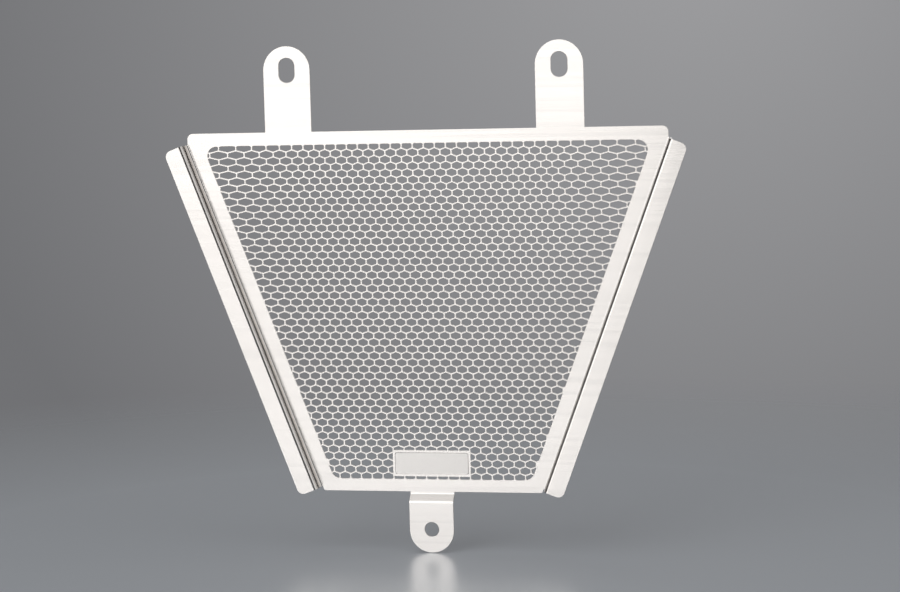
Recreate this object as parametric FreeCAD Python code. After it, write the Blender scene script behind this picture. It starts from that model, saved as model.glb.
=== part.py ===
import FreeCAD
import Part
import math
import os

# Oil cooler guard: one piece of stainless sheet, in millimetres.
# The flat panel carries a honeycomb window and a blank nameplate. A stepped flange is
# folded forward on each slanted side, two slotted ears stand on the top edge, and a
# joggled lug with the round bolt hole hangs below the bottom edge.
# The front looks along -Y and +Z is up. The origin is the centre of the lug's bolt hole,
# on the rear face of the lug, where the guard seats on its bracket.

# Sheet
sheet_thickness = 1.0
bend_radius = 1.0

# Panel. Its sides are the slanted fold lines of the flanges, up to a short upright
# shoulder under each top corner.
panel_height = 161.2
panel_bottom_width = 99.8
side_lean = 20.6
shoulder_height = 4.8
panel_top_corner_radius = 2.5
panel_bottom_corner_radius = 1.0

# Window in the panel, as the widths of the plain borders that are left around it
top_border = 5.85
bottom_border = 5.5
side_border = 6.3
window_corner_radius = 4.8

# Honeycomb. The cells are squashed hexagons that stand on a point. Out to even_reach
# from the middle they are all one pitch wide, and each one beyond that is wider than
# the one before by column_growth_ratio.
cell_pitch = 5.0
row_pitch = 3.015
cell_side = 2.0
rib_width = 0.7
even_reach = 57.5
column_growth_ratio = 1.09
first_row_drop = 1.0
# The cells are drawn this many times their real size, ribs and all. That keeps the
# share of the window that is open, with far fewer faces than the real cells would have.
mesh_scale = 2.1
# A gap that would be smaller than a square of this side is left closed.
smallest_gap = 0.9

# Blank nameplate in the honeycomb, with a row of cells cut down to slots below it
nameplate_width = 35.7
nameplate_height = 11.9
gap_below_nameplate = 1.2
nameplate_rim = 1.0
nameplate_corner_radius = 1.1
nameplate_depth = 0.25

# Stepped flanges on the slanted sides
flange_step = 6.1
flange_width = 9.9
flange_corner_radius = 3.0
flange_end_gap = 2.0

# Slotted ears on the top edge
ear_spacing = 123.0
ear_width = 21.3
ear_height = 38.1
slot_width = 7.3
slot_length = 11.0

# Joggled lug below the bottom edge
lug_width = 20.0
lug_hole_diameter = 6.5
lug_hole_drop = 16.6
lug_tip_beyond_hole = 10.4
joggle_depth = 3.0
joggle_start = 1.2
joggle_angle = 45.0

X_AXIS = FreeCAD.Vector(1, 0, 0)
Z_AXIS = FreeCAD.Vector(0, 0, 1)
FORWARD = FreeCAD.Vector(0, -1, 0)
TINY = 1e-6

# Places that follow from the sizes. Y grows to the rear, so the panel's front face
# lies behind the lug's by the depth of the joggle.
panel_front = joggle_depth - sheet_thickness
panel_rear = panel_front + sheet_thickness
panel_bottom = lug_hole_drop
panel_top = panel_bottom + panel_height
shoulder_bottom = panel_top - shoulder_height
window_bottom = panel_bottom + bottom_border
window_top = panel_top - top_border
nameplate_z = window_bottom + gap_below_nameplate + nameplate_height / 2
ear_tip = panel_top + ear_height
lean = math.radians(side_lean)
side_slope = math.tan(lean)


def side_x(z, inset=0.0):
    """Half width of the panel at a height, out to the fold line or a line inside it."""
    return panel_bottom_width / 2 + (z - panel_bottom) * side_slope - inset / math.cos(lean)


def rounded_face(corners, origin, across, up):
    """A flat face whose corners are (a, b, radius), measured along two directions."""
    points = [origin + across * a + up * b for a, b, _ in corners]
    radii = [radius for _, _, radius in corners]
    count = len(points)
    ends = []
    edges = []
    for i, corner in enumerate(points):
        before = (points[i - 1] - corner).normalize()
        after = (points[(i + 1) % count] - corner).normalize()
        half_angle = before.getAngle(after) / 2
        reach = radii[i] / math.tan(half_angle)
        start = corner + before * reach
        end = corner + after * reach
        if radii[i] > TINY:
            middle_distance = radii[i] / math.sin(half_angle) - radii[i]
            middle = corner + (before + after).normalize() * middle_distance
            edges.append(Part.Arc(start, middle, end).toShape())
        ends.append((start, end))
    for i in range(count):
        line_start = ends[i][1]
        line_end = ends[(i + 1) % count][0]
        if line_start.distanceToPoint(line_end) > TINY:
            edges.append(Part.LineSegment(line_start, line_end).toShape())
    return Part.Face(Part.Wire(Part.sortEdges(edges)[0]))


def front_face(corners):
    """A face at y = 0, drawn as seen from the front, from corners (x, z, radius)."""
    return rounded_face(corners, FreeCAD.Vector(0, 0, 0), X_AXIS, Z_AXIS)


def box_corners(x, z, width, height, radius=0.0):
    """The four corners of an upright rectangle about a centre."""
    left = x - width / 2
    right = x + width / 2
    low = z - height / 2
    high = z + height / 2
    return [(left, low, radius), (right, low, radius), (right, high, radius), (left, high, radius)]


def strip_corners(path):
    """The closed outline of a folded sheet, from the corners of its middle line."""
    sides = []
    for side in (1, -1):
        points = []
        for i, point in enumerate(path):
            before = path[max(i - 1, 0)]
            after = path[min(i + 1, len(path) - 1)]
            heading_in = math.atan2(point[1] - before[1], point[0] - before[0])
            heading_out = math.atan2(after[1] - point[1], after[0] - point[0])
            if i == 0:
                heading_in = heading_out
            if i == len(path) - 1:
                heading_out = heading_in
            turn = heading_out - heading_in
            heading = (heading_in + heading_out) / 2
            offset = side * sheet_thickness / 2 / math.cos(turn / 2)
            a = point[0] - offset * math.sin(heading)
            b = point[1] + offset * math.cos(heading)
            outer = sheet_thickness if side * turn < 0 else 0.0
            radius = bend_radius + outer if abs(turn) > TINY else 0.0
            points.append((a, b, radius))
        sides.append(points)
    return sides[0] + sides[1][::-1]


def stretched(x):
    """Where an evenly spaced place across the honeycomb lies on the real one."""
    beyond = (abs(x) - even_reach) / cell_pitch
    if beyond <= 0:
        return x
    whole = math.floor(beyond)
    grown = sum(column_growth_ratio ** (k + 1) for k in range(whole))
    grown += (beyond - whole) * column_growth_ratio ** (whole + 1)
    return math.copysign(even_reach + cell_pitch * grown, x)


def inset_polygon(points, distance):
    """A convex polygon, given counterclockwise, moved in from every edge."""
    lines = []
    for i, (ax, az) in enumerate(points):
        bx, bz = points[(i + 1) % len(points)]
        length = math.hypot(bx - ax, bz - az)
        normal = (-(bz - az) / length, (bx - ax) / length)
        lines.append((normal, normal[0] * ax + normal[1] * az + distance))
    inset = []
    for i, ((nx, nz), level) in enumerate(lines):
        (px, pz), previous_level = lines[i - 1]
        determinant = px * nz - pz * nx
        x = (previous_level * nz - level * pz) / determinant
        z = (px * level - nx * previous_level) / determinant
        inset.append((x, z, 0.0))
    return inset


def cell_corners(x, z):
    """The open hexagon of one cell, between its ribs."""
    half_pitch = mesh_scale * cell_pitch / 2
    left = stretched(x - half_pitch)
    middle = stretched(x)
    right = stretched(x + half_pitch)
    side = mesh_scale * cell_side / 2
    point = mesh_scale * (row_pitch - cell_side / 2)
    hexagon = [(left, z - side), (middle, z - point), (right, z - side),
               (right, z + side), (middle, z + point), (left, z + side)]
    return inset_polygon(hexagon, mesh_scale * rib_width / 2)


def honeycomb_cells():
    """Every hexagon that lies in the window, whole, as (x, z) of its centre."""
    pitch = mesh_scale * cell_pitch
    step = mesh_scale * row_pitch
    top_row = window_top - mesh_scale * first_row_drop
    rows = math.ceil((top_row - window_bottom) / step) + 1
    reach = side_x(window_top)
    columns = math.ceil(reach / pitch) + 1
    for row in range(rows):
        shift = 0.5 if row % 2 == 0 else 0.0
        for column in range(-columns, columns + 1):
            yield (column + shift) * pitch, top_row - row * step


def window_corners():
    """The window's outline, inside the plain borders."""
    half_bottom = side_x(window_bottom, side_border)
    half_top = side_x(window_top, side_border)
    radius = window_corner_radius
    return [(-half_bottom, window_bottom, radius), (half_bottom, window_bottom, radius),
            (half_top, window_top, radius), (-half_top, window_top, radius)]


def honeycomb_gaps():
    """The openings of the honeycomb, cut off at the window and the nameplate."""
    window = front_face(window_corners())
    plate = front_face(box_corners(0, nameplate_z, nameplate_width, nameplate_height))
    opening = window.cut(plate)
    limit = window.BoundBox
    cells = []
    for x, z in honeycomb_cells():
        cell = front_face(cell_corners(x, z))
        if cell.BoundBox.intersect(limit):
            cells.append(cell)
    pieces = Part.makeCompound(cells).common(opening)
    return [face for face in pieces.Faces if face.Area > smallest_gap ** 2]


def ear_places():
    """The middle of each ear across the panel, the right one first."""
    return (ear_spacing / 2, -ear_spacing / 2)


def panel_corners():
    """The panel's outline, with upright shoulders above the flanges and the two ears."""
    half_top = side_x(shoulder_bottom)
    half_bottom = panel_bottom_width / 2
    top_radius = panel_top_corner_radius
    bottom_radius = panel_bottom_corner_radius
    round_end = ear_width / 2
    corners = [(-half_bottom, panel_bottom, bottom_radius), (half_bottom, panel_bottom, bottom_radius),
               (half_top, shoulder_bottom, 0), (half_top, panel_top, top_radius)]
    for x in ear_places():
        corners += [(x + round_end, panel_top, 0), (x + round_end, ear_tip, round_end),
                    (x - round_end, ear_tip, round_end), (x - round_end, panel_top, 0)]
    return corners + [(-half_top, panel_top, top_radius), (-half_top, shoulder_bottom, 0)]


def through(face, front, rear):
    """A face drawn at y = 0, as a solid from one depth to another."""
    moved = face.copy()
    moved.translate(FreeCAD.Vector(0, front, 0))
    return moved.extrude(FreeCAD.Vector(0, rear - front, 0))


def make_panel():
    """The flat panel with its ears, before anything is cut out of it."""
    return through(front_face(panel_corners()), panel_front, panel_rear)


def folded_strip(path, origin, across, along, length):
    """A sheet folded along parallel lines, drawn by its middle line and drawn out."""
    section = rounded_face(strip_corners(path), origin, across, FORWARD)
    return section.extrude(along * length)


def make_flange():
    """The right flange: a wall folded forward and a rim folded outward again."""
    across = FreeCAD.Vector(math.cos(lean), 0, -math.sin(lean))
    along = FreeCAD.Vector(math.sin(lean), 0, math.cos(lean))
    corner = FreeCAD.Vector(panel_bottom_width / 2, panel_front, panel_bottom)
    start = corner + along * flange_end_gap
    length = (shoulder_bottom - panel_bottom) / math.cos(lean) - flange_end_gap
    middle = -sheet_thickness / 2
    wall = bend_radius + sheet_thickness / 2
    path = [(0, middle), (wall, middle), (wall, flange_step + middle),
            (flange_width, flange_step + middle)]
    strip = folded_strip(path, start, across, along, length)
    radius = flange_corner_radius
    outline = rounded_face([(0, 0, 0), (flange_width, 0, radius), (flange_width, length, radius),
                            (0, length, 0)], start, across, along)
    return strip.common(outline_block(outline, flange_step))


def outline_block(outline, depth):
    """A front outline that lies on the panel's front, deepened past a folded strip."""
    block = outline.copy()
    block.translate(FORWARD * (depth + sheet_thickness))
    return block.extrude(FORWARD * -(depth + 3 * sheet_thickness))


def make_lug():
    """The lug below the panel, stepped forward, with a round end."""
    origin = FreeCAD.Vector(-lug_width / 2, panel_front, panel_bottom)
    down = FreeCAD.Vector(0, 0, -1)
    length = lug_hole_drop + lug_tip_beyond_hole
    middle = -sheet_thickness / 2
    joggle_run = joggle_depth / math.tan(math.radians(joggle_angle))
    path = [(0, middle), (joggle_start, middle), (joggle_start + joggle_run, joggle_depth + middle),
            (length, joggle_depth + middle)]
    strip = folded_strip(path, origin, down, X_AXIS, lug_width)
    round_end = lug_width / 2
    outline = rounded_face([(0, 0, 0), (length, 0, round_end), (length, lug_width, round_end),
                            (0, lug_width, 0)], origin, down, X_AXIS)
    return strip.common(outline_block(outline, joggle_depth))


def make_cutouts():
    """Everything that is cut out of the folded sheet."""
    front = panel_front - sheet_thickness
    rear = panel_rear + sheet_thickness
    cutouts = [through(gap, front, rear) for gap in honeycomb_gaps()]
    slot_z = ear_tip - ear_width / 2
    for x in ear_places():
        slot = front_face(box_corners(x, slot_z, slot_width, slot_length, slot_width / 2))
        cutouts.append(through(slot, front, rear))
    field = front_face(box_corners(0, nameplate_z, nameplate_width - 2 * nameplate_rim,
                                   nameplate_height - 2 * nameplate_rim, nameplate_corner_radius))
    cutouts.append(through(field, front, panel_front + nameplate_depth))
    hole_length = 3 * sheet_thickness
    cutouts.append(Part.makeCylinder(lug_hole_diameter / 2, hole_length,
                                     FORWARD * (2 * sheet_thickness), FORWARD * -1))
    return cutouts


def make_guard():
    """The whole guard as one solid."""
    flange = make_flange()
    mirrored = flange.mirror(FreeCAD.Vector(0, 0, 0), X_AXIS)
    blank = make_panel().fuse([flange, mirrored, make_lug()]).removeSplitter()
    pieces = blank.cut(Part.makeCompound(make_cutouts())).Solids
    return max(pieces, key=lambda piece: piece.Volume)


os.makedirs("parts", exist_ok=True)
make_guard().exportStep("parts/oil_cooler_guard.step")
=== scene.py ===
"""Oil cooler guard: the folded stainless sheet with its fine honeycomb, on a plain studio floor."""
import math

import bmesh
import bpy
from bpy.props import FloatProperty, FloatVectorProperty, IntProperty, PointerProperty
from bpy.types import Operator, Panel, PropertyGroup
from mathutils import Matrix, Vector


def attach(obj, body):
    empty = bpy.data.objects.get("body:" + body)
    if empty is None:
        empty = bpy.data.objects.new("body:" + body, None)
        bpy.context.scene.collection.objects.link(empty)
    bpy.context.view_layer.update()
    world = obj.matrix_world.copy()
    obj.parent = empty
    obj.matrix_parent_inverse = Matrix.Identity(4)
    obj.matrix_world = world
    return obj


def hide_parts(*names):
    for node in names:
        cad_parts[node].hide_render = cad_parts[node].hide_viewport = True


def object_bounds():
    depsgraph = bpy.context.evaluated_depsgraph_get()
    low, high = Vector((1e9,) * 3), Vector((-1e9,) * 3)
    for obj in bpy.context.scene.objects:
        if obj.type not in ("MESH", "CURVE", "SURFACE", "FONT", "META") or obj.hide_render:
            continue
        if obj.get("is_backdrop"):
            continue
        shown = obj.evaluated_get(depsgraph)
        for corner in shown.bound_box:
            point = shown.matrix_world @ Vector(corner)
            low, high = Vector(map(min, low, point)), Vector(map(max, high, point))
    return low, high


bl_info = {
    "name": "Oil cooler guard",
    "version": (1, 0, 0),
    "blender": (4, 5, 0),
    "location": "3D View > Sidebar > Guard",
    "description": "Models a folded stainless oil cooler guard and a plain stage for it",
    "category": "Object",
}

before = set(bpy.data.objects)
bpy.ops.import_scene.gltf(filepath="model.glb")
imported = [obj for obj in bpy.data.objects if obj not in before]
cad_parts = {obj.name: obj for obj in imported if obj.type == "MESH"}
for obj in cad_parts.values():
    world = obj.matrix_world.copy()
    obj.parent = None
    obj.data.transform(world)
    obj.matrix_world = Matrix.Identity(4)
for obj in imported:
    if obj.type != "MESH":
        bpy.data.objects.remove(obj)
FRAME_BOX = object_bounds()
NODE = "oil_cooler_guard"
BODY = "root"
PIECE = "guard_sheet"

# Units and directions
MM = 0.001
SAME = 1e-6
FRONT = Vector((0, -1, 0))
UP = Vector((0, 0, 1))
QUARTER_TURN = math.pi / 2

# How finely bends, corners and circles are cut up
BEND_FACET = math.radians(11)
LEAST_BEND_STEPS = 4
EDGE_STEPS = 2
OUTLINE_STEPS = 10
FLANGE_STEPS = 8
LUG_STEPS = 12
WINDOW_STEPS = 8
FIELD_STEPS = 5
BOLT_HOLE_SIDES = 48
FLOOR_SIDES = 96

# How edges and faces are told apart
RIM_ANGLE = math.radians(60)
SMOOTH_ANGLE = math.radians(24)
THICKNESS_SLACK = 1.01
CUT_TILT = 0.2
LEVEL = 0.9999
FIELD_DEPTH_SHARE = 0.9

# The slots of the piece's three finishes
STEEL, FIELD, CUT = range(3)

# Noise in the finishes, as its repeats in a metre across, back and up, and its detail
FINE_LINES = ((14.0, 14.0, 2600.0), 4.0)
BROAD_LINES = ((5.0, 5.0, 420.0), 3.0)
CLOUDS = ((9.0, 9.0, 16.0), 2.0)
ETCHED_GRAIN = ((5200.0, 5200.0, 5200.0), 2.0)
CUT_LINES = ((2200.0, 160.0, 2200.0), 3.0)
NOISE_ROUGHNESS = 0.6

# Stretches of the noise's values that are spread over a whole range
NOISE_REACH = (0.3, 0.7)
LINE_CONTRAST = (0.36, 0.52)
GRAIN_CONTRAST = (0.35, 0.6)

# Each lamp's width and height, and its place, in metres
LAMPS = {
    "key": ((1.55, 1.7), (-0.745, -1.60, 0.62)),
    "side": ((1.7, 1.8), (1.43, -0.46, 0.45)),
    "top": ((2.2, 2.2), (-0.3, -0.4, 1.7)),
    "rear": ((1.4, 1.6), (1.25, 1.45, 0.6)),
    "back": ((2.1, 1.8), (-0.75, 1.60, 0.45)),
}
# The lamps that light the guard alone and not the floor
GUARD_ONLY = ("rear", "back")

# The floor's drop under the guard, and the share of its radius over which it fades out
FLOOR_DROP = 0.2 * MM
FLOOR_FADE = (0.05, 0.6)

# The way to the backdrop's glow, and how far from it the glow fades and the room darkens
GLOW_DIRECTION = (-0.122, 0.992, 0.052)
GLOW_FADE = (0.04, 0.31)
ROOM_FADE = (0.6, 1.4)

# The camera's place, its right and up, and the nearest and farthest that it sees, in metres
CAMERA_PLACE = (0.2651, -1.1142, 0.2188)
CAMERA_RIGHT = (0.97518, 0.21987, -0.02594)
CAMERA_UP = (0.00328, 0.10281, 0.99470)
CAMERA_CLIP = (0.05, 50.0)


def length(name, millimetres, description):
    """A size, written in millimetres and held in metres."""
    return FloatProperty(name=name, description=description, default=millimetres * MM,
                         unit="LENGTH", precision=5)


def turn(name, degrees, description):
    """An angle, written in degrees."""
    return FloatProperty(name=name, description=description, default=math.radians(degrees),
                         subtype="ANGLE")


def number(name, value, description):
    """A plain number."""
    return FloatProperty(name=name, description=description, default=value, precision=4)


def count(name, value, description):
    """A whole number."""
    return IntProperty(name=name, description=description, default=value, min=1)


def colour(name, red, green, blue, description):
    """A linear colour."""
    return FloatVectorProperty(name=name, description=description, default=(red, green, blue),
                               subtype="COLOR", min=0.0, max=1.0)


class SheetSizes(PropertyGroup):
    """Sizes of the folded sheet."""

    thickness: length("Sheet thickness", 1.0, "Thickness of the stainless sheet")
    bend_radius: length("Bend radius", 1.0, "Radius on the inside of every bend")
    edge_round: length("Edge round", 0.16, "Size of the rounding on the cut edges")
    panel_height: length("Panel height", 161.2, "From the bottom edge to the top edge")
    panel_bottom_width: length("Panel bottom width", 99.8, "Between the fold lines at the bottom")
    side_lean: turn("Side lean", 20.6, "Lean of the fold lines from upright")
    shoulder_height: length("Shoulder height", 4.8, "Upright edge under each top corner")
    top_corner_radius: length("Top corner radius", 2.5, "Rounding of the top corners")
    bottom_corner_radius: length("Bottom corner radius", 1.0, "Rounding of the bottom corners")
    flange_step: length("Flange step", 6.1, "How far the rim stands in front of the panel")
    flange_width: length("Flange width", 9.9, "From the fold line to the rim's edge")
    flange_corner_radius: length("Flange corner radius", 3.0, "Rounding of the rim's corners")
    flange_end_gap: length("Flange end gap", 2.0, "Fold line left free at the bottom")
    ear_spacing: length("Ear spacing", 123.0, "Between the middles of the ears")
    ear_width: length("Ear width", 21.3, "Width of each ear")
    ear_height: length("Ear height", 38.1, "From the panel's top edge to the ear's tip")
    slot_width: length("Slot width", 7.3, "Width of the slot in each ear")
    slot_length: length("Slot length", 11.0, "Length of the slot, end to end")
    lug_width: length("Lug width", 20.0, "Width of the bolt lug")
    lug_hole: length("Lug hole", 6.5, "Diameter of the bolt hole")
    lug_hole_drop: length("Lug hole drop", 16.6, "From the panel's bottom edge to the hole")
    lug_tip: length("Lug tip", 10.4, "From the hole's middle to the lug's tip")
    joggle_depth: length("Joggle depth", 3.0, "How far the lug stands in front of the panel")
    joggle_start: length("Joggle start", 1.2, "From the bottom edge to the first bend")
    joggle_angle: turn("Joggle angle", 45.0, "Slope of the step in the lug")


class HoneycombSizes(PropertyGroup):
    """Sizes of the window, its cells and the blank nameplate."""

    top_border: length("Top border", 5.85, "Plain sheet above the window")
    bottom_border: length("Bottom border", 5.5, "Plain sheet below the window")
    side_border: length("Side border", 6.3, "Plain sheet beside the window")
    corner_radius: length("Window corner radius", 4.8, "Rounding of the window's corners")
    cell_pitch: length("Cell pitch", 5.0, "From one cell to the next across a row")
    row_pitch: length("Row pitch", 3.015, "From one row to the next")
    rows: count("Rows", 51, "Rows of cells from the top")
    rib_width: length("Rib width", 0.7, "Metal left between two cells")
    corner_cut: length("Corner cut", 0.2, "Softening of each cell's corners")
    lip: length("Hole lip", 0.14, "Bevel round every hole")
    even_reach: length("Even reach", 57.5, "How far out the columns are even")
    column_growth: number("Column growth", 1.09, "Width of each outer column against the last")
    first_row_drop: length("First row drop", 1.0, "From the window's top to the first row's middle")
    smallest_gap: length("Smallest gap", 0.65, "Side of the square below which a hole stays closed")
    plate_width: length("Nameplate width", 35.7, "Width of the blank nameplate")
    plate_height: length("Nameplate height", 11.9, "Height of the blank nameplate")
    plate_gap: length("Gap below the nameplate", 1.2, "Height of the slots under the nameplate")
    plate_rim: length("Nameplate rim", 1.0, "Width of the bright rim")
    plate_corner: length("Nameplate corner", 1.1, "Corner radius of the sunk field")
    plate_depth: length("Nameplate depth", 0.25, "Depth of the sunk field")
    plate_slope: length("Nameplate slope", 0.32, "Width of the sunk field's sloping edge")


class FinishSettings(PropertyGroup):
    """Colours and finish of the steel."""

    steel: colour("Steel", 0.865, 0.827, 0.793, "Colour of the brushed steel")
    steel_dark: colour("Hairlines", 0.815, 0.779, 0.747, "Darker tone of the steel's hairlines")
    field: colour("Nameplate field", 0.905, 0.87, 0.835, "Colour of the matt nameplate field")
    cut: colour("Cut edge", 0.56, 0.545, 0.525, "Colour of the cuts through the sheet")
    roughness: number("Roughness", 0.25, "Mean roughness of the brushed face")
    field_roughness: number("Field roughness", 0.35, "Roughness of the matt nameplate field")
    cut_roughness: number("Cut roughness", 0.48, "Mean roughness of the cuts through the sheet")
    brush_stretch: number("Brush stretch", 0.86, "How far the brushing stretches reflections")


class StageSettings(PropertyGroup):
    """The floor, backdrop, lamps and camera."""

    floor: colour("Floor", 0.56, 0.597, 0.642, "Colour of the floor")
    floor_size: length("Floor size", 620.0, "Radius of the floor, which fades out")
    floor_roughness: number("Floor roughness", 0.30, "Roughness of the floor's gloss")
    floor_gloss: number("Floor gloss", 4.8, "Strength of the floor's gloss, as a refractive index")
    glow: colour("Backdrop glow", 0.325, 0.325, 0.335, "Colour of the backdrop's lightest part")
    backdrop: colour("Backdrop", 0.165, 0.167, 0.175, "Colour of the backdrop beside the glow")
    room: colour("Room", 0.022, 0.022, 0.022, "Colour of the dark room in front")
    lens: number("Lens", 104.15, "Focal length in millimetres")
    sensor: number("Sensor", 36.0, "Sensor width in millimetres")
    key_light: number("Key light", 13.3, "Power of the tall lamp at the front left, in watts")
    side_light: number("Side light", 6.6, "Power of the lamp on the right, in watts")
    top_light: number("Top light", 11.6, "Power of the lamp overhead, in watts")
    rear_light: number("Rear light", 5.0, "Power of the lamp behind on the right, in watts")
    back_light: number("Back light", 7.5, "Power of the wide lamp behind on the left, in watts")
    even_light: number("Even light", 0.08, "Strength of the light from all round")


def bm_object(name, bm):
    """A new object from a bmesh, which is freed."""
    mesh = bpy.data.meshes.new(name)
    bm.to_mesh(mesh)
    bm.free()
    made = bpy.data.objects.new(name, mesh)
    bpy.context.scene.collection.objects.link(made)
    return made


def verts_of(geometry):
    """The vertices among an operator's results."""
    return [item for item in geometry if isinstance(item, bmesh.types.BMVert)]


def edges_between(verts):
    """The edges that join some vertices to each other."""
    inside = set(verts)
    return list(dict.fromkeys(edge for vert in verts for edge in vert.link_edges
                              if edge.other_vert(vert) in inside))


def with_verts(edges):
    """Some edges and their vertices."""
    return edges + list(dict.fromkeys(vert for edge in edges for vert in edge.verts))


def soften(bm, geometry, offset, steps, affect, **settings):
    """Rounds some edges or the corners at some vertices."""
    bmesh.ops.bevel(bm, geom=geometry, offset=offset, offset_type="OFFSET", segments=steps,
                    profile=0.5, affect=affect, material=-1, **settings)


class Layout:
    """Places on the guard that follow from its sizes."""

    def __init__(self, sheet, comb):
        self.front = sheet.joggle_depth - sheet.thickness
        self.rear = sheet.joggle_depth
        self.middle = (self.front + self.rear) / 2
        self.rim_middle = self.middle - sheet.flange_step
        self.lug_middle = -sheet.thickness / 2
        self.bottom = sheet.lug_hole_drop
        self.top = self.bottom + sheet.panel_height
        self.shoulder = self.top - sheet.shoulder_height
        self.half_bottom = sheet.panel_bottom_width / 2
        self.lean = sheet.side_lean
        self.ear_tip = self.top + sheet.ear_height
        self.slot_z = self.ear_tip - sheet.ear_width / 2
        self.window_bottom = self.bottom + comb.bottom_border
        self.window_top = self.top - comb.top_border
        self.plate_z = self.window_bottom + comb.plate_gap + comb.plate_height / 2
        self.along_fold = Vector((math.sin(self.lean), 0, math.cos(self.lean)))

    def side_x(self, z, inset=0.0):
        """Half width at a height, out to the fold line or a line inside it."""
        run = (z - self.bottom) * math.tan(self.lean)
        return self.half_bottom + run - inset / math.cos(self.lean)


def round_corners(bm, corners, steps):
    """Rounds vertices of a flat outline, given as (vertex, radius)."""
    for vert, radius in corners:
        sides = [(edge.other_vert(vert).co - vert.co).normalized() for edge in vert.link_edges]
        reach = radius / math.tan(sides[0].angle(sides[1]) / 2)
        soften(bm, [vert], reach, steps, "VERTICES")
    bmesh.ops.remove_doubles(bm, verts=bm.verts[:], dist=SAME)


def carry_on(bm, edges, heading, distance):
    """Carries the sheet straight on from its edge, and returns the new edge."""
    made = bmesh.ops.extrude_edge_only(bm, edges=edges)["geom"]
    verts = verts_of(made)
    bmesh.ops.translate(bm, verts=verts, vec=heading * distance)
    return edges_between(verts)


def fold(bm, edges, heading, facing, sheet, angle, forward):
    """Bends the sheet on from its edge, to the front or back again.

    Returns the new edge, the way that the sheet now runs and the way that its front looks."""
    axis = heading.cross(facing)
    here = edges[0].verts[0].co
    if forward:
        centre = here + facing * sheet.bend_radius
    else:
        centre = here - facing * (sheet.bend_radius + sheet.thickness)
        angle = -angle
    steps = max(round(abs(angle) / BEND_FACET), LEAST_BEND_STEPS)
    made = bmesh.ops.spin(bm, geom=with_verts(edges), cent=centre, axis=axis, angle=angle,
                          steps=steps)["geom_last"]
    rotation = Matrix.Rotation(angle, 3, axis)
    return edges_between(verts_of(made)), rotation @ heading, rotation @ facing


def panel_outline(bm, sheet, layout):
    """The flat panel with shoulders and ears, as one face on its front.

    Returns the vertices where the flanges and the lug start."""
    half_top = layout.side_x(layout.shoulder)
    gap = sheet.flange_end_gap
    ear_end = sheet.ear_width / 2
    ear_outside = sheet.ear_spacing / 2 + ear_end
    ear_inside = sheet.ear_spacing / 2 - ear_end
    fold_start = (layout.half_bottom + gap * layout.along_fold.x,
                  layout.bottom + gap * layout.along_fold.z)
    right = [
        ("lug", sheet.lug_width / 2, layout.bottom, 0),
        ("", layout.half_bottom, layout.bottom, sheet.bottom_corner_radius),
        ("low", *fold_start, 0),
        ("high", half_top, layout.shoulder, 0),
        ("", half_top, layout.top, sheet.top_corner_radius),
        ("", ear_outside, layout.top, 0),
        ("", ear_outside, layout.ear_tip, ear_end),
        ("", ear_inside, layout.ear_tip, ear_end),
        ("", ear_inside, layout.top, 0),
    ]
    left = [(mark, -x, z, radius) for mark, x, z, radius in reversed(right)]
    verts = []
    starts = {}
    rounded = []
    for side, places in ((1, right), (-1, left)):
        for mark, x, z, radius in places:
            vert = bm.verts.new((x, layout.front, z))
            verts.append(vert)
            if mark:
                starts[mark, side] = vert
            if radius:
                rounded.append((vert, radius))
    bm.faces.new(verts)
    round_corners(bm, rounded, OUTLINE_STEPS)
    return starts


def add_flange(bm, sheet, layout, low, high, side):
    """The stepped flange on one side: a wall folded forward and a rim folded out again."""
    heading = Vector((side * math.cos(layout.lean), 0, -math.sin(layout.lean)))
    facing = FRONT
    wall = sheet.flange_step - 2 * sheet.bend_radius - sheet.thickness
    rim = sheet.flange_width - 2 * sheet.bend_radius - sheet.thickness
    edges = edges_between([low, high])
    edges, heading, facing = fold(bm, edges, heading, facing, sheet, QUARTER_TURN, True)
    edges = carry_on(bm, edges, heading, wall)
    edges, heading, facing = fold(bm, edges, heading, facing, sheet, QUARTER_TURN, False)
    edges = carry_on(bm, edges, heading, rim)
    soften(bm, list(edges[0].verts), sheet.flange_corner_radius, FLANGE_STEPS, "VERTICES")


def add_lug(bm, sheet, layout, left, right):
    """The lug below the panel, stepped forward, with a round end."""
    heading = -UP
    facing = FRONT
    angle = sheet.joggle_angle
    half_turn = math.tan(angle / 2)
    inner_reach = sheet.bend_radius * half_turn
    outer_reach = (sheet.bend_radius + sheet.thickness) * half_turn
    corner = sheet.joggle_start - sheet.thickness / 2 * half_turn
    slope = sheet.joggle_depth / math.sin(angle)
    run = sheet.joggle_depth / math.tan(angle)
    total = sheet.lug_hole_drop + sheet.lug_tip
    edges = edges_between([left, right])
    edges = carry_on(bm, edges, heading, corner - inner_reach)
    edges, heading, facing = fold(bm, edges, heading, facing, sheet, angle, True)
    edges = carry_on(bm, edges, heading, slope - inner_reach - outer_reach)
    edges, heading, facing = fold(bm, edges, heading, facing, sheet, angle, False)
    edges = carry_on(bm, edges, heading, total - corner - run - outer_reach)
    soften(bm, list(edges[0].verts), sheet.lug_width / 2, LUG_STEPS, "VERTICES")


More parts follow.
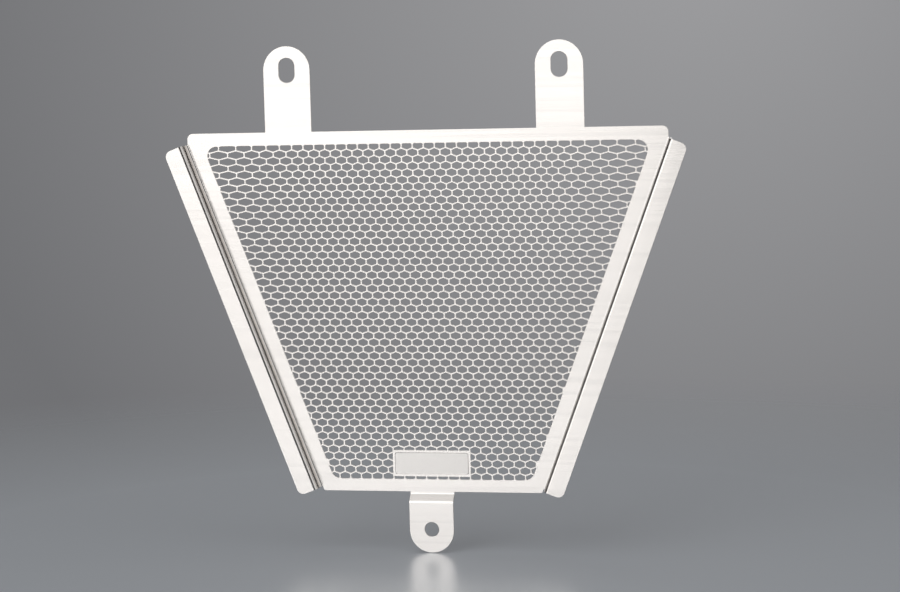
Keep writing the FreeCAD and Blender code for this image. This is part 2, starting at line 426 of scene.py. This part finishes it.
def folded_blank(sheet, layout):
    """The folded sheet before anything is punched out of it, as a closed solid."""
    bm = bmesh.new()
    starts = panel_outline(bm, sheet, layout)
    add_lug(bm, sheet, layout, starts["lug", -1], starts["lug", 1])
    for side in (-1, 1):
        add_flange(bm, sheet, layout, starts["low", side], starts["high", side], side)
    bmesh.ops.remove_doubles(bm, verts=bm.verts[:], dist=SAME)
    bmesh.ops.recalc_face_normals(bm, faces=bm.faces[:])
    panel = max(bm.faces, key=lambda face: face.calc_area())
    if panel.normal.dot(FRONT) < 0:
        bmesh.ops.reverse_faces(bm, faces=bm.faces[:])
    bmesh.ops.solidify(bm, geom=bm.faces[:], thickness=sheet.thickness)
    bmesh.ops.recalc_face_normals(bm, faces=bm.faces[:])
    rims = [edge for edge in bm.edges if is_rim(edge, sheet)]
    soften(bm, rims, sheet.edge_round, EDGE_STEPS, "EDGES", clamp_overlap=True)
    return bm_object("blank", bm)


def is_rim(edge, sheet):
    """True for an edge between a face of the sheet and its cut side."""
    if edge.calc_face_angle(0) <= RIM_ANGLE:
        return False
    widest = sheet.thickness * THICKNESS_SLACK
    narrow = [len(face.verts) == 4 and min(side.calc_length() for side in face.edges) <= widest
              for face in edge.link_faces]
    return edge.calc_length() < SAME or any(narrow)


def stretched(x, comb):
    """Where an evenly spaced place across the honeycomb lies on the real one."""
    beyond = (abs(x) - comb.even_reach) / comb.cell_pitch
    if beyond <= 0:
        return x
    whole = math.floor(beyond)
    grown = sum(comb.column_growth ** (step + 1) for step in range(whole))
    grown += (beyond - whole) * comb.column_growth ** (whole + 1)
    return math.copysign(comb.even_reach + comb.cell_pitch * grown, x)


def punch(bm, thickness, lip, overshoot, middle):
    """Makes closed punches from flat faces, and sets them on the sheet's middle plane.

    They flare out at both ends, which bevels the edges of the holes that they make."""
    reach = lip + overshoot
    made = bmesh.ops.extrude_discrete_faces(bm, faces=bm.faces[:])["faces"]
    verts = {vert for face in made for vert in face.verts}
    bmesh.ops.translate(bm, verts=list(verts), vec=FRONT * (thickness / 2 - abs(lip)))
    bmesh.ops.inset_individual(bm, faces=made, thickness=-reach, depth=abs(reach),
                               use_even_offset=True)
    bmesh.ops.mirror(bm, geom=bm.verts[:] + bm.edges[:] + bm.faces[:], matrix=Matrix(),
                     axis="Y", merge_dist=SAME)
    bmesh.ops.recalc_face_normals(bm, faces=bm.faces[:])
    bmesh.ops.translate(bm, verts=bm.verts[:], vec=-FRONT * middle)


def honeycomb_cells(sheet, comb, layout):
    """Punches for every cell of the honeycomb, before the window and nameplate limit them."""
    bm = bmesh.new()
    # Rows of regular hexagons stand one and a half radii apart. They are then widened.
    radius = comb.row_pitch * 2 / 3
    wide = comb.cell_pitch / (math.sqrt(3) * radius)
    upright = Matrix.Rotation(QUARTER_TURN, 4, "X") @ Matrix.Diagonal((wide, 1, 1, 1))
    reach = layout.side_x(layout.window_top)
    columns = math.ceil(reach / comb.cell_pitch) + 1
    for row in range(comb.rows):
        z = layout.window_top - comb.first_row_drop - row * comb.row_pitch
        shift = 0.5 if row % 2 == 0 else 0.0
        for column in range(-columns, columns + 1):
            x = (column + shift) * comb.cell_pitch
            if abs(x) > layout.side_x(z) + comb.cell_pitch:
                continue
            where = Matrix.Translation((x, 0, z)) @ upright
            bmesh.ops.create_circle(bm, cap_ends=True, segments=6, radius=radius, matrix=where)
    for vert in bm.verts:
        vert.co.x = stretched(vert.co.x, comb)
    ribs = bmesh.ops.inset_individual(bm, faces=bm.faces[:], thickness=comb.rib_width / 2,
                                      use_even_offset=True)["faces"]
    bmesh.ops.delete(bm, geom=ribs, context="FACES")
    soften(bm, bm.verts[:], comb.corner_cut, 1, "VERTICES")
    # The ribs leave room for less overshoot than other holes have.
    overshoot = comb.lip * 0.4
    punch(bm, sheet.thickness, comb.lip, overshoot, layout.middle)
    return bm_object("cells", bm)


def flat_shape(bm, corners, steps=1):
    """A flat upright face from (x, z, radius) corners."""
    verts = [bm.verts.new((x, 0, z)) for x, z, _ in corners]
    bm.faces.new(verts)
    rounded = [(vert, corner[2]) for vert, corner in zip(verts, corners) if corner[2]]
    round_corners(bm, rounded, steps)


def box_corners(x, z, width, height, radius=0.0):
    """The corners of an upright rectangle about a centre."""
    left = x - width / 2
    right = x + width / 2
    low = z - height / 2
    high = z + height / 2
    return [(left, low, radius), (right, low, radius), (right, high, radius), (left, high, radius)]


def window_punch(sheet, comb, layout):
    """The window's outline as a punch."""
    bm = bmesh.new()
    low = layout.side_x(layout.window_bottom, comb.side_border)
    high = layout.side_x(layout.window_top, comb.side_border)
    radius = comb.corner_radius
    corners = [(-low, layout.window_bottom, radius), (low, layout.window_bottom, radius),
               (high, layout.window_top, radius), (-high, layout.window_top, radius)]
    flat_shape(bm, corners, WINDOW_STEPS)
    punch(bm, sheet.thickness, comb.lip, comb.lip, layout.middle)
    return bm_object("window", bm)


def plate_block(sheet, comb, layout):
    """The nameplate's outline as a block that keeps the cells off it."""
    bm = bmesh.new()
    flat_shape(bm, box_corners(0, layout.plate_z, comb.plate_width, comb.plate_height))
    punch(bm, sheet.thickness, -comb.lip, -comb.lip, layout.middle)
    return bm_object("plate", bm)


def plate_field(comb, layout):
    """The sunk field of the nameplate as a flared punch that stops in the sheet."""
    bm = bmesh.new()
    edge = comb.plate_rim + comb.plate_slope
    corners = box_corners(0, layout.plate_z, comb.plate_width - 2 * edge,
                          comb.plate_height - 2 * edge, comb.plate_corner - comb.plate_slope)
    flat_shape(bm, corners, FIELD_STEPS)
    made = bmesh.ops.extrude_face_region(bm, geom=bm.faces[:], use_keep_orig=True)["geom"]
    verts = verts_of(made)
    cap = [face for face in bm.faces if all(vert in verts for vert in face.verts)]
    # The slope is carried on past the sheet's face, so that the cut comes out clean.
    past = 1.5
    bmesh.ops.inset_individual(bm, faces=cap, thickness=-comb.plate_slope * past,
                               depth=comb.plate_depth * past, use_even_offset=True)
    bmesh.ops.remove_doubles(bm, verts=bm.verts[:], dist=SAME)
    bmesh.ops.recalc_face_normals(bm, faces=bm.faces[:])
    bmesh.ops.translate(bm, verts=bm.verts[:], vec=-FRONT * (layout.front + comb.plate_depth))
    return bm_object("field", bm)


def slot_punches(sheet, comb, layout):
    """Punches for the slots in the ears."""
    bm = bmesh.new()
    for side in (-1, 1):
        corners = box_corners(side * sheet.ear_spacing / 2, layout.slot_z, sheet.slot_width,
                              sheet.slot_length, sheet.slot_width / 2)
        flat_shape(bm, corners, OUTLINE_STEPS)
    punch(bm, sheet.thickness, comb.lip, comb.lip, layout.middle)
    return bm_object("slots", bm)


def bolt_hole_punch(sheet, comb, layout):
    """A punch for the round hole in the lug."""
    bm = bmesh.new()
    bmesh.ops.create_circle(bm, cap_ends=True, segments=BOLT_HOLE_SIDES, radius=sheet.lug_hole / 2,
                            matrix=Matrix.Rotation(QUARTER_TURN, 4, "X"))
    punch(bm, sheet.thickness, comb.lip, comb.lip, layout.lug_middle)
    return bm_object("hole", bm)


def combine(target, other, operation):
    """Cuts or intersects one solid with another, which is taken away."""
    change = target.modifiers.new(operation, "BOOLEAN")
    change.operation = operation
    change.solver = "MANIFOLD"
    change.object = other
    apply_modifiers(target)
    spare = other.data
    bpy.data.objects.remove(other)
    bpy.data.meshes.remove(spare)


def apply_modifiers(target):
    """Makes an object's modifiers part of its mesh."""
    bpy.context.view_layer.update()
    result = target.evaluated_get(bpy.context.evaluated_depsgraph_get())
    mesh = bpy.data.meshes.new_from_object(result)
    target.modifiers.clear()
    old = target.data
    target.data = mesh
    bpy.data.meshes.remove(old)


def islands(bm):
    """The separate shells of a mesh, each as its vertices."""
    left = set(bm.verts)
    while left:
        island = [left.pop()]
        # The list grows while the loop runs along it.
        for vert in island:
            for edge in vert.link_edges:
                other = edge.other_vert(vert)
                if other in left:
                    left.discard(other)
                    island.append(other)
        yield island


def shell_volume(faces):
    """The volume inside a closed shell of faces."""
    total = 0.0
    for face in faces:
        first = face.verts[0].co
        for second, third in zip(face.verts[1:], face.verts[2:]):
            total += first.dot(second.co.cross(third.co)) / 6
    return abs(total)


def drop_small(target, thickness, smallest):
    """Takes away the punches that would make a hole smaller than a square of some side."""
    bm = bmesh.new()
    bm.from_mesh(target.data)
    least = smallest ** 2 * thickness
    for island in islands(bm):
        faces = dict.fromkeys(face for vert in island for face in vert.link_faces)
        if shell_volume(faces) < least:
            bmesh.ops.delete(bm, geom=island, context="VERTS")
    bm.to_mesh(target.data)
    bm.free()


def is_cut(face, sheet, comb, layout):
    """True for a face of a cut straight through one of the flat parts of the sheet."""
    if abs(face.normal.dot(FRONT)) > CUT_TILT:
        return False
    middle = face.calc_center_median()
    levels = [layout.middle, layout.rim_middle]
    if middle.z < layout.bottom - sheet.joggle_depth and abs(middle.x) < sheet.lug_width:
        levels.append(layout.lug_middle)
    return any(abs(middle.y - level) < sheet.thickness / 2 - comb.lip for level in levels)


def is_field(face, comb, layout):
    """True for a face on the bottom of the nameplate's sunk field."""
    middle = face.calc_center_median()
    half_width = comb.plate_width / 2 - comb.plate_rim
    half_height = comb.plate_height / 2 - comb.plate_rim
    inside = abs(middle.x) < half_width and abs(middle.z - layout.plate_z) < half_height
    sunk = layout.front + comb.plate_depth * FIELD_DEPTH_SHARE < middle.y < layout.middle
    return inside and sunk and abs(face.normal.dot(FRONT)) > LEVEL


def set_shading(target, sheet, comb, layout):
    """Smooth bends, true flats, crisp edges, and the cuts' and nameplate field's own finishes."""
    bm = bmesh.new()
    bm.from_mesh(target.data)
    bm.normal_update()
    for edge in bm.edges:
        edge.smooth = edge.calc_face_angle(0) < SMOOTH_ANGLE
    for face in bm.faces:
        face.smooth = True
        if is_field(face, comb, layout):
            face.material_index = FIELD
        elif is_cut(face, sheet, comb, layout):
            face.material_index = CUT
        else:
            face.material_index = STEEL
    bm.to_mesh(target.data)
    bm.free()
    even = target.modifiers.new("even", "WEIGHTED_NORMAL")
    even.mode = "FACE_AREA"
    even.weight = 100
    even.keep_sharp = True
    apply_modifiers(target)


def add_node(tree, kind, inputs=None, **settings):
    """A shader node with its settings and plain input values."""
    node = tree.nodes.new(kind)
    for key, value in settings.items():
        setattr(node, key, value)
    for key, value in (inputs or {}).items():
        node.inputs[key].default_value = value
    return node


def feed(tree, socket, value):
    """Gives a socket a plain value or another node's result."""
    if isinstance(value, bpy.types.NodeSocket):
        tree.links.new(value, socket)
    else:
        socket.default_value = value


def opaque(values):
    """A colour with full alpha."""
    return (*values, 1.0)


def map_range(tree, value, low, high, to_low=0.0, to_high=1.0):
    """A value spread over another range."""
    node = add_node(tree, "ShaderNodeMapRange", {"From Min": low, "From Max": high,
                                                 "To Min": to_low, "To Max": to_high})
    tree.links.new(value, node.inputs["Value"])
    return node.outputs["Result"]


def calculate(tree, operation, first, second):
    """The result of a sum, difference, product or comparison of two values."""
    node = add_node(tree, "ShaderNodeMath", operation=operation)
    feed(tree, node.inputs[0], first)
    feed(tree, node.inputs[1], second)
    return node.outputs["Value"]


def mix_colours(tree, share, low, high):
    """A colour between two others."""
    node = add_node(tree, "ShaderNodeMix", data_type="RGBA")
    feed(tree, node.inputs["Factor"], share)
    feed(tree, node.inputs["A"], low)
    feed(tree, node.inputs["B"], high)
    return node.outputs["Result"]


def start_material(name, metallic=0.0):
    """A material with a Principled shader."""
    material = bpy.data.materials.new(name)
    material.use_nodes = True
    tree = material.node_tree
    tree.nodes.clear()
    output = add_node(tree, "ShaderNodeOutputMaterial")
    shader = add_node(tree, "ShaderNodeBsdfPrincipled", {"Metallic": metallic})
    tree.links.new(shader.outputs["BSDF"], output.inputs["Surface"])
    return material, tree, shader


def streaks(tree, repeats, detail):
    """Noise that is long and thin where its repeats differ, as a brush leaves it."""
    where = add_node(tree, "ShaderNodeTexCoord")
    mapping = add_node(tree, "ShaderNodeMapping", {"Scale": repeats})
    noise = add_node(tree, "ShaderNodeTexNoise", {"Scale": 1.0, "Detail": detail,
                                                  "Roughness": NOISE_ROUGHNESS})
    tree.links.new(where.outputs["Object"], mapping.inputs["Vector"])
    tree.links.new(mapping.outputs["Vector"], noise.inputs["Vector"])
    return noise.outputs["Fac"]


def vary(tree, pattern, middle, spread):
    """A value that a pattern moves up and down about its middle."""
    return map_range(tree, pattern, *NOISE_REACH, middle - spread, middle + spread)


def colour_by(tree, shader, pattern, contrast, dark, light):
    """Colours the metal between two tones by a pattern."""
    share = map_range(tree, pattern, *contrast)
    tone = mix_colours(tree, share, opaque(dark), opaque(light))
    tree.links.new(tone, shader.inputs["Base Color"])


def raise_by(tree, shader, pattern, strength, height):
    """Lets a pattern stand up from the surface, as bump."""
    bump = add_node(tree, "ShaderNodeBump", {"Strength": strength, "Distance": height})
    tree.links.new(pattern, bump.inputs["Height"])
    tree.links.new(bump.outputs["Normal"], shader.inputs["Normal"])


def across_the_brush(tree):
    """The way up the surface, square to the hairlines, along which reflections stretch."""
    surface = add_node(tree, "ShaderNodeNewGeometry")
    level = add_node(tree, "ShaderNodeVectorMath", operation="CROSS_PRODUCT")
    rise = add_node(tree, "ShaderNodeVectorMath", operation="CROSS_PRODUCT")
    level.inputs[1].default_value = UP
    tree.links.new(surface.outputs["Normal"], level.inputs[0])
    tree.links.new(level.outputs["Vector"], rise.inputs[0])
    tree.links.new(surface.outputs["Normal"], rise.inputs[1])
    return rise.outputs["Vector"]


def brushed_steel(finish):
    """Bright stainless sheet with faint hairlines across it."""
    material, tree, shader = start_material("brushed_stainless", metallic=1.0)
    fine = streaks(tree, *FINE_LINES)
    broad = streaks(tree, *BROAD_LINES)
    clouds = streaks(tree, *CLOUDS)
    colour_by(tree, shader, broad, LINE_CONTRAST, finish.steel_dark, finish.steel)
    wide = vary(tree, clouds, middle=finish.roughness, spread=0.02)
    narrow = vary(tree, fine, middle=0.0, spread=0.02)
    tree.links.new(calculate(tree, "ADD", wide, narrow), shader.inputs["Roughness"])
    raise_by(tree, shader, fine, strength=0.17, height=0.01 * MM)
    shader.inputs["Anisotropic"].default_value = finish.brush_stretch
    tree.links.new(across_the_brush(tree), shader.inputs["Tangent"])
    return material


def grained_metal(name, pattern, tone, darkest, roughness, spread, strength):
    """A matt metal whose tone, roughness and height all follow one pattern."""
    material, tree, shader = start_material(name, metallic=1.0)
    grain = streaks(tree, *pattern)
    dark = [value * darkest for value in tone]
    colour_by(tree, shader, grain, GRAIN_CONTRAST, dark, tone)
    tree.links.new(vary(tree, grain, roughness, spread), shader.inputs["Roughness"])
    raise_by(tree, shader, grain, strength, height=0.02 * MM)
    return material


def matt_field(finish):
    """The blank nameplate's sunk field, etched to an even matt grain."""
    return grained_metal("etched_field", ETCHED_GRAIN, finish.field, darkest=0.9,
                         roughness=finish.field_roughness, spread=0.04, strength=0.5)


def cut_edge(finish):
    """The cuts through the sheet, duller than its faces and faintly lined from front to back."""
    return grained_metal("cut_edge", CUT_LINES, finish.cut, darkest=0.82,
                         roughness=finish.cut_roughness, spread=0.05, strength=0.4)


class GUARD_OT_sheet(Operator):
    """Models the folded, punched and brushed sheet in place of the plain solid"""

    bl_idname = "guard.sheet"
    bl_label = "Folded sheet"

    def execute(self, context):
        sheet = context.scene.guard_sheet
        comb = context.scene.guard_honeycomb
        finish = context.scene.guard_finish
        layout = Layout(sheet, comb)
        piece = folded_blank(sheet, layout)
        cells = honeycomb_cells(sheet, comb, layout)
        combine(cells, window_punch(sheet, comb, layout), "INTERSECT")
        combine(cells, plate_block(sheet, comb, layout), "DIFFERENCE")
        drop_small(cells, sheet.thickness, comb.smallest_gap)
        combine(piece, cells, "DIFFERENCE")
        combine(piece, slot_punches(sheet, comb, layout), "DIFFERENCE")
        combine(piece, bolt_hole_punch(sheet, comb, layout), "DIFFERENCE")
        combine(piece, plate_field(comb, layout), "DIFFERENCE")
        piece.data.materials.clear()
        for make in (brushed_steel, matt_field, cut_edge):
            piece.data.materials.append(make(finish))
        set_shading(piece, sheet, comb, layout)
        piece.name = PIECE
        piece.data.name = PIECE
        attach(piece, BODY)
        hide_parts(NODE)
        return {"FINISHED"}


def floor_material(stage):
    """A pale, faintly glossy floor that fades into the backdrop."""
    material, tree, shader = start_material("studio_floor")
    where = add_node(tree, "ShaderNodeTexCoord")
    mapping = add_node(tree, "ShaderNodeMapping", {"Scale": [1.0 / stage.floor_size] * 3})
    blend = add_node(tree, "ShaderNodeTexGradient", gradient_type="SPHERICAL")
    tree.links.new(where.outputs["Object"], mapping.inputs["Vector"])
    tree.links.new(mapping.outputs["Vector"], blend.inputs["Vector"])
    cover = map_range(tree, blend.outputs["Fac"], *FLOOR_FADE)
    tree.links.new(cover, shader.inputs["Alpha"])
    shader.inputs["Base Color"].default_value = opaque(stage.floor)
    shader.inputs["Roughness"].default_value = stage.floor_roughness
    shader.inputs["IOR"].default_value = stage.floor_gloss
    return material


def add_lamp(name, power, size, place_m, target, lit=None):
    """A soft lamp of some width and height, aimed at a point and not seen by the camera.

    It lights everything, or one object alone."""
    light = bpy.data.lights.new(name, "AREA")
    light.shape = "RECTANGLE"
    light.size, light.size_y = size
    light.energy = power
    lamp = bpy.data.objects.new(name, light)
    lamp.location = place_m
    lamp.rotation_euler = (target - Vector(place_m)).to_track_quat("-Z", "Y").to_euler()
    lamp.visible_camera = False
    bpy.context.scene.collection.objects.link(lamp)
    if lit:
        only = bpy.data.collections.new(name)
        only.objects.link(lit)
        lamp.light_linking.receiver_collection = only


def set_world(stage):
    """A grey backdrop with a soft glow, a dark room that only reflections show, and an even light."""
    world = bpy.data.worlds.new("studio")
    bpy.context.scene.world = world
    world.use_nodes = True
    tree = world.node_tree
    tree.nodes.clear()
    output = add_node(tree, "ShaderNodeOutputWorld")
    where = add_node(tree, "ShaderNodeTexCoord")
    away = add_node(tree, "ShaderNodeVectorMath", operation="DISTANCE")
    away.inputs[1].default_value = GLOW_DIRECTION
    tree.links.new(where.outputs["Generated"], away.inputs[0])
    beside_glow = map_range(tree, away.outputs["Value"], *GLOW_FADE)
    in_front = map_range(tree, away.outputs["Value"], *ROOM_FADE)
    rays = add_node(tree, "ShaderNodeLightPath").outputs
    mirrored = calculate(tree, "SUBTRACT", 1.0, rays["Is Camera Ray"])
    dark = calculate(tree, "MULTIPLY", in_front, mirrored)
    shade = mix_colours(tree, beside_glow, opaque(stage.glow), opaque(stage.backdrop))
    shade = mix_colours(tree, dark, shade, opaque(stage.room))
    seen = add_node(tree, "ShaderNodeBackground")
    tree.links.new(shade, seen.inputs["Color"])
    even = add_node(tree, "ShaderNodeBackground", {"Color": (1.0, 1.0, 1.0, 1.0),
                                                   "Strength": stage.even_light})
    direct = calculate(tree, "MAXIMUM", rays["Is Camera Ray"], rays["Is Glossy Ray"])
    clear = calculate(tree, "MAXIMUM", direct, rays["Is Transmission Ray"])
    mix = add_node(tree, "ShaderNodeMixShader")
    tree.links.new(clear, mix.inputs[0])
    tree.links.new(even.outputs["Background"], mix.inputs[1])
    tree.links.new(seen.outputs["Background"], mix.inputs[2])
    tree.links.new(mix.outputs["Shader"], output.inputs["Surface"])


def add_camera(stage):
    """The camera at the photographed viewing angle."""
    data = bpy.data.cameras.new("camera")
    data.lens = stage.lens
    data.sensor_width = stage.sensor
    data.clip_start, data.clip_end = CAMERA_CLIP
    camera = bpy.data.objects.new("camera", data)
    right = Vector(CAMERA_RIGHT).normalized()
    up = Vector(CAMERA_UP)
    up = (up - right * up.dot(right)).normalized()
    back = right.cross(up)
    turned = Matrix((right, up, back)).transposed().to_4x4()
    camera.matrix_world = Matrix.Translation(CAMERA_PLACE) @ turned
    bpy.context.scene.collection.objects.link(camera)
    bpy.context.scene.camera = camera


class GUARD_OT_stage(Operator):
    """Sets the floor, backdrop, lamps and camera"""

    bl_idname = "guard.stage"
    bl_label = "Studio stage"

    def execute(self, context):
        stage = context.scene.guard_stage
        low, high = FRAME_BOX
        bm = bmesh.new()
        bmesh.ops.create_circle(bm, cap_ends=True, segments=FLOOR_SIDES, radius=stage.floor_size)
        floor = bm_object("floor", bm)
        floor.location.z = low.z - FLOOR_DROP
        floor.data.materials.append(floor_material(stage))
        floor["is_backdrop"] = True
        middle = (low + high) / 2
        guard = bpy.data.objects[PIECE]
        for name, (size, place_m) in LAMPS.items():
            power = getattr(stage, name + "_light")
            lit = guard if name in GUARD_ONLY else None
            add_lamp(name, power, size, place_m, middle, lit)
        set_world(stage)
        add_camera(stage)
        context.scene.view_settings.view_transform = "Standard"
        return {"FINISHED"}


class GUARD_PT_panel(Panel):
    """Lists the guard's pieces and their sizes"""

    bl_idname = "GUARD_PT_panel"
    bl_label = "Oil cooler guard"
    bl_space_type = "VIEW_3D"
    bl_region_type = "UI"
    bl_category = "Guard"

    def draw(self, context):
        for operator in OPERATORS:
            self.layout.operator(operator.bl_idname)
        for name, group in SETTINGS:
            box = self.layout.box()
            box.label(text=group.__doc__)
            for key in group.__annotations__:
                box.prop(getattr(context.scene, name), key)


SETTINGS = (
    ("guard_sheet", SheetSizes),
    ("guard_honeycomb", HoneycombSizes),
    ("guard_finish", FinishSettings),
    ("guard_stage", StageSettings),
)
OPERATORS = (GUARD_OT_sheet, GUARD_OT_stage)


def register():
    """Registers the settings, operators and panel."""
    for name, group in SETTINGS:
        bpy.utils.register_class(group)
        setattr(bpy.types.Scene, name, PointerProperty(type=group))
    for item in (*OPERATORS, GUARD_PT_panel):
        bpy.utils.register_class(item)


def unregister():
    """Takes them away again."""
    for item in (GUARD_PT_panel, *OPERATORS):
        bpy.utils.unregister_class(item)
    for name, group in SETTINGS:
        delattr(bpy.types.Scene, name)
        bpy.utils.unregister_class(group)


def main():
    """Builds the guard and its stage, and works out the CAD's and the visual's bounding boxes."""
    register()
    bpy.ops.guard.sheet()
    bpy.ops.guard.stage()
    boxes = {"cad": FRAME_BOX, "visual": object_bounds()}
    {name: [list(corner) for corner in box] for name, box in boxes.items()}


if __name__ == "__main__":
    main()
